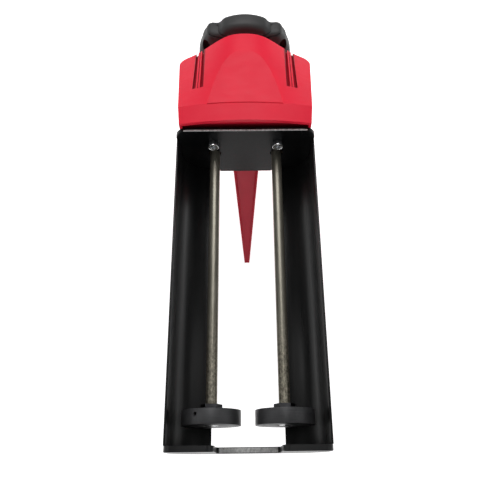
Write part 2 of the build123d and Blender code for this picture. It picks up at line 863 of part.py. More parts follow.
handle_top = handle_stations[0][0]
handle_foot = handle_stations[-1][0]
handle_outer = handle_solid(0, handle_top, handle_foot)
handle_inner = handle_solid(-handle_wall, handle_top, handle_foot + handle_wall)


def body_solid(y_front, y_rear, inset, corner):
    """Lower housing's trough shape, moved in by an amount."""
    floor = body_floor + inset
    with BuildPart() as solid:
        for y in (y_front, y_rear):
            half = half_width_at(y) - inset
            curl = -floor
            with BuildSketch(section(y)):
                with BuildLine():
                    Line((0, split_height), (half, split_height))
                    Line((half, split_height), (half, 0))
                    CenterArc((half - curl, 0), curl, 0, -90)
                    Polyline((half - curl, floor), (0, floor), (0, split_height))
                make_face()
                mirror(about=Plane.YZ)
        loft(ruled=True)
        rear_edges = solid.faces().sort_by(Axis.Y)[-1].edges()
        fillet(rear_edges.filter_by(lambda e: e.center().Z < split_height - 0.1), radius=corner)
    return solid


body_outer = body_solid(block_front, housing_rear, 0, housing_rear_corner)
body_inner = body_solid(block_front, rear_wall_front, housing_wall, inner_corner)
handle_screw_places = ((68.0, -42.0), (80.5, -122.0))
boss_radius = 4.5

with BuildPart() as body_shell:
    add(body_outer.part)
    add(handle_outer.part)
    add(body_inner.part, mode=Mode.SUBTRACT)
    add(handle_inner.part, mode=Mode.SUBTRACT)
    # the trigger swings through the floor
    with BuildSketch(Plane.XY.offset(body_floor)):
        with Locations((0, 24)):
            Rectangle(2 * (trigger_hub_half_width + 1.2), 46)
    extrude(amount=5, mode=Mode.SUBTRACT)
    # rods and the release tab pass through the rear wall
    with BuildSketch(section(housing_rear)):
        with Locations((rod_x, 0), (-rod_x, 0)):
            Circle(rod_radius + 0.8)
        with Locations(*rear_screw_places[2:]):
            Circle(small_screw_radius + 0.2)
    extrude(amount=housing_wall, mode=Mode.SUBTRACT)
    with BuildSketch(section(housing_rear)):
        with Locations((0, -17.5)):
            Rectangle(2 * tab_half_width + 2, 7.6)
    extrude(amount=10, mode=Mode.SUBTRACT)
    with BuildSketch(section(housing_rear)):
        with Locations(*rear_screw_places[2:]):
            Circle(rear_screw_head + 0.2)
    extrude(amount=1.9, taper=45, mode=Mode.SUBTRACT)
    # screw bosses inside the handle, and the screws' holes
    for x in (-13, 0):
        with BuildSketch(side_plane(x)):
            with Locations(*handle_screw_places):
                Circle(boss_radius)
        extrude(amount=13)
    with BuildSketch(side_plane(-20)):
        with Locations(*handle_screw_places):
            Circle(small_screw_radius + 0.15)
    extrude(amount=40, mode=Mode.SUBTRACT)
    # countersinks for the side screws
    side_x = half_width_at(side_screw_place[0])
    for x, direction in ((side_x, -1), (-side_x, 1)):
        with BuildSketch(side_plane(x)):
            with Locations(side_screw_place):
                Circle(small_screw_radius + 0.2)
        extrude(amount=direction * 4, mode=Mode.SUBTRACT)
        with BuildSketch(side_plane(x)):
            with Locations(side_screw_place):
                Circle(side_screw_head + 0.2)
        extrude(amount=direction * 1.7, taper=45, mode=Mode.SUBTRACT)

with BuildPart() as body_right:
    add(body_shell.part)
    split(bisect_by=Plane.YZ, keep=Keep.TOP)
    # sockets for the handle screws' heads
    with BuildSketch(side_plane(11)):
        with Locations(*handle_screw_places):
            Circle(3.8)
    extrude(amount=12, mode=Mode.SUBTRACT)
save(body_right, "body_right")

with BuildPart() as body_left:
    add(body_shell.part)
    split(bisect_by=Plane.YZ, keep=Keep.BOTTOM)
    # pockets for the handle nuts
    with BuildSketch(side_plane(-11)):
        with Locations(*handle_screw_places):
            RegularPolygon(3.55, 6, major_radius=False)
    extrude(amount=-12, mode=Mode.SUBTRACT)
save(body_left, "body_left")

with BuildPart() as handle_screws:
    with BuildSketch(side_plane(-13.2)):
        with Locations(*handle_screw_places):
            Circle(small_screw_radius)
    extrude(amount=24.2)
    with BuildSketch(side_plane(11)):
        with Locations(*handle_screw_places):
            Circle(3.5)
    extrude(amount=2.8)
    with BuildSketch(side_plane(13.8)):
        with Locations(*handle_screw_places):
            RegularPolygon(1.25, 6, major_radius=False)
    extrude(amount=-1.6, mode=Mode.SUBTRACT)
save(handle_screws, "handle_screws")

with BuildPart() as handle_nuts:
    with BuildSketch(side_plane(-13.4)):
        with Locations(*handle_screw_places):
            RegularPolygon(3.5, 6, major_radius=False)
            Circle(small_screw_radius + 0.02, mode=Mode.SUBTRACT)
    extrude(amount=2.4)
save(handle_nuts, "handle_nuts")

side_screw = countersunk_screw(small_screw_radius, 7, side_screw_head)
with BuildPart() as side_screws:
    with Locations(
        Plane((side_x - 0.2, *side_screw_place), z_dir=(1, 0, 0)),
        Plane((0.2 - side_x, *side_screw_place), z_dir=(-1, 0, 0)),
    ):
        add(side_screw.part)
save(side_screws, "side_screws")

rear_screw = countersunk_screw(small_screw_radius, 11, rear_screw_head)
with BuildPart() as rear_screws:
    with Locations(*(Plane((x, housing_rear - 0.1, z), z_dir=(0, 1, 0)) for x, z in rear_screw_places)):
        add(rear_screw.part)
save(rear_screws, "rear_screws")

sleeve_outer = handle_solid(1.6, -52, -132)
with BuildPart() as grip_sleeve:
    add(sleeve_outer.part)
    add(handle_outer.part, mode=Mode.SUBTRACT)
    # the sleeve covers the back and the sides
    with BuildSketch(side_plane(-25)):
        Polygon((66, -45), (80, -140), (130, -140), (130, -45), align=None)
    extrude(amount=50, mode=Mode.INTERSECT)
save(grip_sleeve, "grip_sleeve")
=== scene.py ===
# %% [markdown]
# # A caulking gun for two cartridges, finished in Blender
#
# The gun is steel and moulded plastic. Its sizes, joints and fits come from a CAD model, which this
# script loads as a fixed frame. Blender's share is the look: the soft, rounded mouldings are
# modelled here by hand from primitives, and every surface gets a finish built from nodes. We work
# in metres, with X across the gun, -Y towards the nozzle and +Z up, so a size of 0.003 is three
# millimetres.

import json
import math

import bmesh
import bpy
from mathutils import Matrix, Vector

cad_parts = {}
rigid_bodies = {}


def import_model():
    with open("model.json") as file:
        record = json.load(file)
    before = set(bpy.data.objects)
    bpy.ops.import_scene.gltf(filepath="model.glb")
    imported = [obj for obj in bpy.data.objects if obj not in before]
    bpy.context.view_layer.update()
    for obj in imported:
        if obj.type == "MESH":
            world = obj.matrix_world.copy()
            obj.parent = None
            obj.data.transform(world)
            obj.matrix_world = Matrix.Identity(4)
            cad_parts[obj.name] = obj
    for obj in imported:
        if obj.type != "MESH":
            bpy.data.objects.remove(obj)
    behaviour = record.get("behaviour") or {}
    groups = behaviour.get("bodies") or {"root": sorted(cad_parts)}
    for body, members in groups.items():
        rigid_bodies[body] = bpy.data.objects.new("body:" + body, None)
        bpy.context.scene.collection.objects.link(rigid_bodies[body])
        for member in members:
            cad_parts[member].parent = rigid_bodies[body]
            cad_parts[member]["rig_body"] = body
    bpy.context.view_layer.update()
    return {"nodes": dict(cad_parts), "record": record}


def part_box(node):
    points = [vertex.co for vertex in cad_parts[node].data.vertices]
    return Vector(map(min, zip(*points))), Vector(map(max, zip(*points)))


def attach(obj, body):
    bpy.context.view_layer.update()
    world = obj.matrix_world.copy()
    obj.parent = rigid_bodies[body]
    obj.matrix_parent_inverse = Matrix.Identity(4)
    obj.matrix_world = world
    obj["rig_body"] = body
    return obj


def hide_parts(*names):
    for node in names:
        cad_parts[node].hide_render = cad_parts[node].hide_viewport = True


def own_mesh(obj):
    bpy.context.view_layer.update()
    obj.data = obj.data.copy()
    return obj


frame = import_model()
nodes = frame["nodes"]
MM = 0.001
print("CAD pieces:", len(nodes))

# %% [markdown]
# ## Camera
#
# A product picture of a long tool is usually taken from above its nose, with a lens close to
# normal, so that the near end looks wider than the far end. The camera could be aimed with a Track
# To constraint, but then its tilt would depend on where the target is. Two plain angles say the
# same and never change.

# %% Place the camera
camera_elevation = 68
camera_turn = -0.63
camera_data = bpy.data.cameras.new("studio_camera")
camera = bpy.data.objects.new("studio_camera", camera_data)
bpy.context.scene.collection.objects.link(camera)
camera.location = (0.0009, -0.2413, 0.385)
camera.rotation_euler = (math.radians(90 - camera_elevation), 0, math.radians(camera_turn))
camera_data.lens = 39.24
camera_data.clip_start = 0.01
bpy.context.scene.camera = camera
print("camera tilt from straight down:", 90 - camera_elevation, "degrees")

# %% [markdown]
# ## Floor and light
#
# Black steel shows only what it reflects, so the light matters more than the paint. One wide soft
# panel hangs high behind the gun: it lights the top of the housing and leaves every face that looks
# at the nose in shade. Weak panels at the nose and along each side draw thin highlights on the
# steel. The world is white at the horizon, for a clean background, and dim overhead, so that it
# doesn't grey the black. The floor lies just under the handle. It is as pale as paper and glows
# slightly, so it stays white.

# %% Build the floor
floor_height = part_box("body_left")[0].z
bpy.ops.mesh.primitive_plane_add(size=6, location=(0, 0, floor_height))
floor = bpy.context.object
floor.name = "studio_floor"
paper = bpy.data.materials.new("studio_paper")
paper.use_nodes = True
paper_shader = paper.node_tree.nodes["Principled BSDF"]
paper_shader.inputs["Base Color"].default_value = (0.93, 0.93, 0.93, 1)
paper_shader.inputs["Roughness"].default_value = 0.9
paper_shader.inputs["Emission Color"].default_value = (1, 1, 1, 1)
paper_shader.inputs["Emission Strength"].default_value = 0.8
floor.data.materials.append(paper)

# %% Hang the lights
def soft_panel(name, place, target, size, power):
    """A rectangular area light at a place, turned to face a target."""
    data = bpy.data.lights.new(name, "AREA")
    data.shape = "RECTANGLE"
    data.size, data.size_y = size
    data.energy = power
    panel = bpy.data.objects.new(name, data)
    bpy.context.scene.collection.objects.link(panel)
    panel.location = place
    aim = Vector(target) - Vector(place)
    panel.rotation_euler = aim.to_track_quat("-Z", "Y").to_euler()
    return panel


soft_panel("key_panel", (0, 0.6, 1.0), (0, -0.05, 0), (1.0, 0.6), 8.8)
soft_panel("nose_panel", (0, -0.9, 0.9), (0, -0.1, 0), (0.8, 0.3), 0.8)
soft_panel("strip_panel", (0, 0.04, 1.2), (0, -0.1, 0), (0.06, 0.4), 1.3)
soft_panel("left_panel", (-0.9, -0.1, 0.8), (0, -0.1, 0), (0.25, 0.9), 1.4)
soft_panel("right_panel", (0.9, -0.1, 0.8), (0, -0.1, 0), (0.25, 0.9), 1.4)

world = bpy.data.worlds.new("studio_world")
bpy.context.scene.world = world
world.use_nodes = True
sky = world.node_tree
direction = sky.nodes.new("ShaderNodeTexCoord")
height = sky.nodes.new("ShaderNodeSeparateXYZ")
glow = sky.nodes.new("ShaderNodeMapRange")
glow.inputs["From Min"].default_value = 0.1
glow.inputs["From Max"].default_value = 0.32
glow.inputs["To Min"].default_value = 1.0
glow.inputs["To Max"].default_value = 0.06
sky.links.new(direction.outputs["Generated"], height.inputs[0])
sky.links.new(height.outputs["Z"], glow.inputs["Value"])
sky.links.new(glow.outputs["Result"], sky.nodes["Background"].inputs["Strength"])
sky.nodes["Background"].inputs["Color"].default_value = (0.97, 0.98, 1.0, 1)
bpy.context.scene.view_settings.view_transform = "Standard"

# %% [markdown]
# ## A bench of finish-making helpers
#
# Real surfaces are never one colour. Each finish below is a Principled shader whose colour,
# roughness and bump are fed by noise in Object coordinates. Image textures would also do, but noise
# needs no unwrapping and has no resolution. Object coordinates are in metres here, so a noise scale
# of 1000 gives grains of about a millimetre. Stretching the coordinates along one axis turns round
# grains into drawn or turned streaks.

# %% Helpers for node materials
def new_finish(name, base, rough, metallic=0.0, specular=0.5):
    """A Principled material with plain starting values; returns its material, node tree and shader."""
    material = bpy.data.materials.new(name)
    material.use_nodes = True
    tree = material.node_tree
    shader = tree.nodes["Principled BSDF"]
    shader.inputs["Base Color"].default_value = (*base, 1)
    shader.inputs["Roughness"].default_value = rough
    shader.inputs["Metallic"].default_value = metallic
    shader.inputs["Specular IOR Level"].default_value = specular
    return material, tree, shader


def noise(tree, scale, stretch=(1, 1, 1), detail=4, roughness=0.55):
    """Noise in Object coordinates, stretched per axis; returns its 0 to 1 output."""
    place = tree.nodes.new("ShaderNodeTexCoord")
    mapping = tree.nodes.new("ShaderNodeMapping")
    mapping.inputs["Scale"].default_value = stretch
    tree.links.new(place.outputs["Object"], mapping.inputs["Vector"])
    texture = tree.nodes.new("ShaderNodeTexNoise")
    texture.inputs["Scale"].default_value = scale
    texture.inputs["Detail"].default_value = detail
    texture.inputs["Roughness"].default_value = roughness
    tree.links.new(mapping.outputs["Vector"], texture.inputs["Vector"])
    return texture.outputs["Fac"]


def spread(tree, value, low, high, from_low=0.3, from_high=0.7):
    """Rescales a 0 to 1 value so that its middle band covers low to high."""
    node = tree.nodes.new("ShaderNodeMapRange")
    node.inputs["From Min"].default_value = from_low
    node.inputs["From Max"].default_value = from_high
    node.inputs["To Min"].default_value = low
    node.inputs["To Max"].default_value = high
    tree.links.new(value, node.inputs["Value"])
    return node.outputs["Result"]


def colour_mix(tree, share, first, second):
    """Mixes two colours, or colour sockets, by a 0 to 1 value."""
    node = tree.nodes.new("ShaderNodeMix")
    node.data_type = "RGBA"
    tree.links.new(share, node.inputs["Factor"])
    for socket, colour in ((node.inputs["A"], first), (node.inputs["B"], second)):
        if isinstance(colour, tuple):
            socket.default_value = (*colour, 1)
        else:
            tree.links.new(colour, socket)
    return node.outputs["Result"]


def object_axes(tree):
    """The X, Y and Z sockets of the Object coordinates."""
    place = tree.nodes.new("ShaderNodeTexCoord")
    axes = tree.nodes.new("ShaderNodeSeparateXYZ")
    tree.links.new(place.outputs["Object"], axes.inputs[0])
    return axes.outputs


def combine(tree, operation, *values):
    """Folds sockets into one with a math operation; every value but the first may be a number."""
    result = values[0]
    for value in values[1:]:
        node = tree.nodes.new("ShaderNodeMath")
        node.operation = operation
        tree.links.new(result, node.inputs[0])
        if isinstance(value, float):
            node.inputs[1].default_value = value
        else:
            tree.links.new(value, node.inputs[1])
        result = node.outputs[0]
    return result


def bumps(tree, shader, *layers):
    """Stacks layers of (height socket, distance in metres, strength) into the shader's normal."""
    last = None
    for height, distance, strength in layers:
        node = tree.nodes.new("ShaderNodeBump")
        node.inputs["Distance"].default_value = distance
        node.inputs["Strength"].default_value = strength
        tree.links.new(height, node.inputs["Height"])
        if last:
            tree.links.new(last, node.inputs["Normal"])
        last = node.outputs["Normal"]
    tree.links.new(last, shader.inputs["Normal"])


def set_input(tree, socket, shader, name):
    """Feeds one of the shader's inputs."""
    tree.links.new(socket, shader.inputs[name])


# %% [markdown]
# ## Finishes
#
# The carriage is bent sheet with a baked black powder coat: dark, half glossy, with a faint orange
# peel and long soft marks where cartridges have slid. The coat is rougher in some places than
# others, and that patchy gloss is what makes black read as paint and not as a hole.

# %% Black powder coat
def powder_coat(name, specular):
    """Black paint with patchy gloss, slide marks along Y and dust."""
    material, tree, shader = new_finish(name, (0.005, 0.005, 0.0055), 0.28, specular=specular)
    patches = noise(tree, 28, (1, 0.35, 1), detail=5)
    slid = noise(tree, 420, (1, 0.02, 1), detail=3)
    dust = noise(tree, 900, detail=2, roughness=0.7)
    tone = colour_mix(
        tree, spread(tree, patches, 0, 1), (0.0025, 0.0028, 0.0034), (0.0055, 0.0056, 0.0056)
    )
    specks = spread(tree, dust, 0, 0.35, 0.66, 0.78)
    set_input(tree, colour_mix(tree, specks, tone, (0.03, 0.03, 0.029)), shader, "Base Color")
    gloss = combine(tree, "ADD", spread(tree, patches, 0.24, 0.34), spread(tree, slid, 0, 0.1))
    set_input(tree, gloss, shader, "Roughness")
    peel = noise(tree, 1500, detail=2)
    bumps(tree, shader, (peel, 0.00003, 0.15), (slid, 0.00001, 0.1))
    return material


# %% [markdown]
# The rods are drawn steel bar. Handling has left a thin brown-grey oxide, and the front end, which
# slides in and out of the cartridge, is mottled with cured sealant and rust. Drawing leaves fine
# lines along the bar.

# %% Rod steel
def rod_steel():
    """Drawn bar with a thin oxide, stained at its front end."""
    material, tree, shader = new_finish("rod_steel", (0.2, 0.19, 0.15), 0.36, metallic=0.7)
    drawn = noise(tree, 2600, (1, 0.012, 1), detail=3)
    cloud = noise(tree, 90, (1, 0.4, 1), detail=6, roughness=0.65)
    mottle = noise(tree, 700, (1, 0.6, 1), detail=5, roughness=0.7)
    worn_end = spread(tree, object_axes(tree)["Y"], 1, 0, -175 * MM, -130 * MM)
    grey = colour_mix(tree, spread(tree, cloud, 0, 1), (0.15, 0.14, 0.11), (0.24, 0.225, 0.185))
    lined = colour_mix(tree, spread(tree, drawn, 0, 0.35), grey, (0.3, 0.285, 0.24))
    stain = colour_mix(tree, spread(tree, mottle, 0, 1, 0.42, 0.6), (0.05, 0.04, 0.025), (0.34, 0.31, 0.24))
    share = combine(tree, "MULTIPLY", worn_end, 0.62)
    set_input(tree, colour_mix(tree, share, lined, stain), shader, "Base Color")
    set_input(tree, spread(tree, cloud, 0.3, 0.42), shader, "Roughness")
    bumps(tree, shader, (drawn, 0.00001, 0.15))
    return material


# %% [markdown]
# The discs are turned from bar and blackened. A lathe leaves rings round the rim, so the noise is
# squeezed along the lathe's axis (Y) and left long round it.

# %% Turned black disc
def turned_black():
    """Blackened steel with a lathe's rings."""
    material, tree, shader = new_finish("turned_black", (0.03, 0.03, 0.032), 0.42, metallic=0.35)
    rings = noise(tree, 260, (0.25, 14, 0.25), detail=4, roughness=0.7)
    rub = noise(tree, 60, detail=5)
    tone = colour_mix(tree, spread(tree, rings, 0, 1), (0.016, 0.0165, 0.018), (0.05, 0.05, 0.052))
    rubbed = colour_mix(tree, spread(tree, rub, 0, 0.45), tone, (0.075, 0.075, 0.078))
    set_input(tree, rubbed, shader, "Base Color")
    set_input(tree, spread(tree, rings, 0.34, 0.52), shader, "Roughness")
    bumps(tree, shader, (rings, 0.00004, 0.4))
    return material


# %% [markdown]
# The housing and the trigger are moulded nylon, dyed right through. The mould was spark-eroded,
# which leaves a fine even grain. Handling polishes it in clouds, and flow in the mould leaves
# slightly lighter drifts. The trigger's copy of the red is about half as bright, as painted shade.

# %% Moulded nylon, in red and in black
def moulded(name, dark, light, rough):
    """Dyed nylon between two tones, with an even grain and scuffs."""
    material, tree, shader = new_finish(name, dark, rough, specular=0.3)
    drift = noise(tree, 22, (1, 0.7, 1), detail=4)
    scuff = noise(tree, 160, (0.5, 1, 1), detail=6, roughness=0.75)
    fine = noise(tree, 3400, detail=2)
    tone = colour_mix(tree, spread(tree, drift, 0, 1), dark, light)
    pale = tuple(min(1, channel * 1.35 + 0.02) for channel in light)
    scuffed = colour_mix(tree, spread(tree, scuff, 0, 0.3, 0.6, 0.8), tone, pale)
    set_input(tree, scuffed, shader, "Base Color")
    set_input(tree, spread(tree, scuff, rough - 0.06, rough + 0.08), shader, "Roughness")
    bumps(tree, shader, (fine, 0.00005, 0.35), (scuff, 0.00002, 0.12))
    return material


# %% [markdown]
# The cover is the same red nylon, with painted shade: its colour is darkened along the grooves on the
# shoulders and on the front wall under the lip, where shade falls. Compare nodes pick these spots
# out by their coordinates, each saying whether a coordinate lies within a distance of a value.

# %% Paint shade into the cover's grooves and under its lip
def within(tree, value, middle, reach):
    """1 where a value is within a reach of a middle, else 0."""
    node = tree.nodes.new("ShaderNodeMath")
    node.operation = "COMPARE"
    tree.links.new(value, node.inputs[0])
    node.inputs[1].default_value = middle
    node.inputs[2].default_value = reach
    return node.outputs[0]


def shade_cover(material):
    """Paints shade into a red finish: darker in the cover's grooves and under its lip."""
    tree = material.node_tree
    shader = tree.nodes["Principled BSDF"]
    axes = object_axes(tree)
    distance = tree.nodes.new("ShaderNodeMath")
    distance.operation = "ABSOLUTE"
    tree.links.new(axes["X"], distance.inputs[0])
    away = distance.outputs[0]
    beside_ribs = combine(
        tree, "MAXIMUM",
        within(tree, away, 34.2 * MM, 1.4 * MM), within(tree, away, 40.3 * MM, 1.3 * MM),
        within(tree, away, 37.3 * MM, 0.25 * MM),
    )
    groove_length = within(tree, axes["Y"], 61.9 * MM, 23.9 * MM)
    grooves = combine(tree, "MULTIPLY", beside_ribs, groove_length)
    front_wall = combine(
        tree, "MULTIPLY",
        within(tree, away, 0, 48.4 * MM),
        within(tree, axes["Y"], 5 * MM, 1.2 * MM),
        within(tree, axes["Z"], 16.8 * MM, 16.8 * MM),
    )
    # Painted shade: up to 72 % of the way to a dark red in the grooves and on the front wall.
    painted_shade_share = spread(tree, combine(tree, "MAXIMUM", grooves, front_wall), 0, 0.72, 0, 1)
    colour = shader.inputs["Base Color"].links[0].from_socket
    set_input(tree, colour_mix(tree, painted_shade_share, colour, (0.09, 0.003, 0.006)), shader, "Base Color")
    return material


# %% [markdown]
# Two thin bands on the black coat are painted near white and broken up by noise: on the floor of the
# notch in the front plate and along the top of the rear plate. They are painted highlights, standing
# in for the sky's reflection on these flat top faces.

# %% Paint a highlight along an edge
def paint_highlight_band(material, middle, reach):
    """Paints a near-white highlight within a reach of a place, per axis."""
    tree = material.node_tree
    shader = tree.nodes["Principled BSDF"]
    axes = object_axes(tree)
    band = combine(
        tree, "MULTIPLY", *(within(tree, axes[axis], middle[axis], reach[axis]) for axis in range(3))
    )
    patchy = spread(tree, noise(tree, 500, (1, 0.6, 1), detail=5), 0.4, 1)
    # Painted highlight: near white where the band and the noise allow.
    highlight_share = combine(tree, "MULTIPLY", band, patchy)
    coat = shader.inputs["Base Color"].links[0].from_socket
    set_input(tree, colour_mix(tree, highlight_share, coat, (0.72, 0.72, 0.71)), shader, "Base Color")
    return material


# %% [markdown]
# Bright screws are zinc plated; springs, pins and plates are hardened steel; the blocks are die
# castings; the bushes are sintered bronze. They are all metals, and differ in tint, in roughness
# and in the direction of their tool marks, so one maker with a few numbers serves for them.

# %% Bare metals
def bare_metal(name, dark, light, rough, stretch=(1, 1, 1), scale=600, depth=0.00003):
    """Metal between two tones, with tool marks of a size, stretch and depth."""
    material, tree, shader = new_finish(name, dark, rough, metallic=1.0)
    marks = noise(tree, scale, stretch, detail=5, roughness=0.65)
    cloud = noise(tree, 120, detail=4)
    tone = colour_mix(tree, spread(tree, cloud, 0, 1), dark, light)
    shade = tuple(channel * 0.7 for channel in dark)
    marked = colour_mix(tree, spread(tree, marks, 0, 0.4, 0.6, 0.8), tone, shade)
    set_input(tree, marked, shader, "Base Color")
    set_input(tree, spread(tree, marks, rough - 0.05, rough + 0.12), shader, "Roughness")
    bumps(tree, shader, (marks, depth, 0.3))
    return material


# %% [markdown]
# The grip sleeve is soft rubber. Rubber is matt and dusty, and its noise is coarser than nylon's.

# %% Rubber
def soft_rubber():
    """Matt rubber with a pale bloom and pores."""
    material, tree, shader = new_finish("soft_rubber", (0.018, 0.018, 0.018), 0.7, specular=0.3)
    bloom = noise(tree, 45, detail=6, roughness=0.7)
    pores = noise(tree, 1800, detail=3)
    tone = colour_mix(tree, spread(tree, bloom, 0, 1), (0.013, 0.013, 0.013), (0.034, 0.033, 0.032))
    set_input(tree, tone, shader, "Base Color")
    set_input(tree, spread(tree, bloom, 0.6, 0.82), shader, "Roughness")
    bumps(tree, shader, (pores, 0.00008, 0.4))
    return material


# %% Make the finishes and give one to each CAD piece
RED_DARK, RED_LIGHT = (0.8, 0.006, 0.034), (0.89, 0.009, 0.041)
finishes = {
    "black_steel": powder_coat("black_powder_coat", 0.3),
    "zinc_steel": bare_metal(
        "zinc_plate", (0.74, 0.75, 0.77), (0.88, 0.89, 0.9), 0.14, scale=3000, depth=0.000004
    ),
    "rod_steel": rod_steel(),
    "black_disc": turned_black(),
    "black_oxide": bare_metal("black_oxide", (0.02, 0.02, 0.022), (0.05, 0.05, 0.052), 0.35),
    "red_nylon": moulded("red_nylon", RED_DARK, RED_LIGHT, 0.5),
    # The trigger's red is the housing's red at about half brightness: painted shade, as the trigger lies in
    # shadow below the housing.
    "red_trigger": moulded(
        "red_trigger_nylon_painted_shade", (0.4, 0.008, 0.024), (0.48, 0.011, 0.03), 0.42
    ),
    "black_nylon": moulded("black_nylon", (0.03, 0.031, 0.031), (0.045, 0.045, 0.045), 0.5),
    "black_rubber": soft_rubber(),
    "cast_aluminium": bare_metal("cast_aluminium", (0.42, 0.42, 0.43), (0.56, 0.56, 0.57), 0.5, scale=900),
    "bush_bronze": bare_metal("bush_bronze", (0.42, 0.26, 0.1), (0.58, 0.38, 0.16), 0.4),
    "hard_steel": bare_metal("hard_steel", (0.24, 0.24, 0.25), (0.36, 0.36, 0.37), 0.3, (1, 1, 0.1)),
    "spring_steel": bare_metal("spring_steel", (0.35, 0.35, 0.36), (0.5, 0.5, 0.5), 0.25),
}
slot_of = {row["node"]: row["material_slot"] for row in frame["record"]["subparts"]}
for node_name, node in nodes.items():
    node.data.materials.clear()
    node.data.materials.append(finishes[slot_of[node_name]])
# The cover gets its own copy of the red, with painted shade in its grooves and under its lip.
cover_red_painted_shade = shade_cover(moulded("red_cover_nylon_painted_shade", RED_DARK, RED_LIGHT, 0.5))
nodes["housing_cover"].data.materials[0] = cover_red_painted_shade
# Painted highlights along the top of the rear plate and on the floor of the front plate's notch.
plate_front_top = (0, 0.4 * MM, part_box("rear_plate")[1].z)
rear_plate_highlight = paint_highlight_band(
    powder_coat("rear_plate_painted_highlight", 0.12), plate_front_top, (1, 0.7 * MM, 0.6 * MM)
)
nodes["rear_plate"].data.materials[0] = rear_plate_highlight
notch_low, notch_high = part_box("front_plate")
notch_floor_height = -14 * MM
notch_floor = (0, (notch_low.y + notch_high.y) / 2, notch_floor_height)
front_plate_highlight = paint_highlight_band(
    powder_coat("front_plate_painted_highlight", 0.3), notch_floor, (21 * MM, 1.6 * MM, 0.3 * MM)
)
nodes["front_plate"].data.materials[0] = front_plate_highlight
print("finishes:", len(finishes), "on", len(slot_of), "CAD pieces")

# %% [markdown]
# ## A bench of modelling helpers
#
# The next pieces are modelled as they would be by hand: a primitive at its size and place, a few
# edits on chosen faces, then modifiers. Operators act on whatever is selected, and a script can't
# see a screen, so each edit first picks its faces, edges or corners by their place. Applying the
# transform at once puts the piece's place into its mesh, and then a place in the mesh is a place on
# the gun.

# %% Helpers for modelling by hand
def primitive(add, name, stretch=(1, 1, 1), **settings):
    """Adds one primitive at its place, with nothing else selected, and applies its transform."""
    bpy.ops.object.select_all(action="DESELECT")
    add(**settings)
    piece = bpy.context.object
    piece.name = name
    piece.scale = [size * share for size, share in zip(piece.scale, stretch)]
    bpy.ops.object.transform_apply(location=True, rotation=True, scale=True)
    return piece


def edit(piece):
    """Opens a piece in edit mode."""
    bpy.ops.object.select_all(action="DESELECT")
    piece.select_set(True)
    bpy.context.view_layer.objects.active = piece
    bpy.ops.object.mode_set(mode="EDIT")


def middle_of(part):
    """Middle of a face, an edge or a corner."""
    if isinstance(part, bmesh.types.BMVert):
        return part.co.copy()
    return sum((corner.co for corner in part.verts), Vector()) / len(part.verts)


def pick(piece, kind, test):
    """Selects only the parts whose middle passes a test; returns how many there are."""
    bpy.ops.mesh.select_mode(type={"faces": "FACE", "edges": "EDGE", "verts": "VERT"}[kind])
    bpy.ops.mesh.select_all(action="DESELECT")
    mesh = bmesh.from_edit_mesh(piece.data)
    chosen = [part for part in getattr(mesh, kind) if test(part, middle_of(part))]
    for part in chosen:
        part.select_set(True)
    mesh.select_flush_mode()
    bmesh.update_edit_mesh(piece.data)
    return len(chosen)


def push(move):
    """Extrudes the selected faces or edges by a move."""
    bpy.ops.mesh.extrude_region_move(TRANSFORM_OT_translate={"value": tuple(move)})


def carve(piece, cutter, operation="DIFFERENCE"):
    """Cuts a piece with another, or joins the two, and removes the tool."""
    boolean = piece.modifiers.new("carve", "BOOLEAN")
    boolean.operation = operation
    boolean.object = cutter
    bpy.context.view_layer.objects.active = piece
    bpy.ops.object.modifier_apply(modifier=boolean.name)
    bpy.data.objects.remove(cutter)


def soften(piece, width, segments=3, angle=35):
    """Rounds every edge sharper than an angle, then shades the result smooth."""
    bpy.ops.object.select_all(action="DESELECT")
    piece.select_set(True)
    bpy.context.view_layer.objects.active = piece
    bevel = piece.modifiers.new("soft_edges", "BEVEL")
    bevel.width = width
    bevel.segments = segments
    bevel.limit_method = "ANGLE"
    bevel.angle_limit = math.radians(angle)
    bpy.ops.object.modifier_apply(modifier=bevel.name)
    bpy.ops.object.shade_smooth_by_angle(angle=math.radians(angle))


def dress(piece, node_name, *more):
    """Gives a piece the finish, body and material slot of the CAD pieces that it stands for."""
    slot_name = slot_of[node_name]
    piece.data.materials.clear()
    piece.data.materials.append(finishes[slot_name])
    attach(piece, nodes[node_name]["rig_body"])
    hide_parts(node_name, *more)
    print(piece.name, "faces:", len(piece.data.polygons))


def copy_of(piece, name):
    """A copy with its own mesh."""
    twin = piece.copy()
    twin.data = piece.data.copy()
    twin.name = name
    bpy.context.scene.collection.objects.link(twin)
    return twin


def shift_x(piece, distance):
    """Moves a piece's whole mesh across the gun."""
    edit(piece)
    bpy.ops.mesh.select_all(action="SELECT")
    bpy.ops.transform.translate(value=(distance, 0, 0))
    bpy.ops.object.mode_set(mode="OBJECT")


def flip_x(piece):
    """Mirrors a piece to the gun's other side and turns its faces outwards again."""
    edit(piece)
    bpy.ops.mesh.select_all(action="SELECT")
    bpy.ops.transform.resize(value=(-1, 1, 1), center_override=(0, 0, 0))
    bpy.ops.mesh.normals_make_consistent(inside=False)
    bpy.ops.object.mode_set(mode="OBJECT")


print("helpers ready")

# %% [markdown]
# ## Rails
#
# Each rail is one sheet, bent at the bottom into a quarter round. A solid block cut to shape would
# work, but a sheet is easier as a sheet: a plane stands for the wall, its lower edge is spun a
# quarter turn, and Solidify gives the steel its thickness. The small bevel matters, since the
# bright line along a rail is its rounded edge.

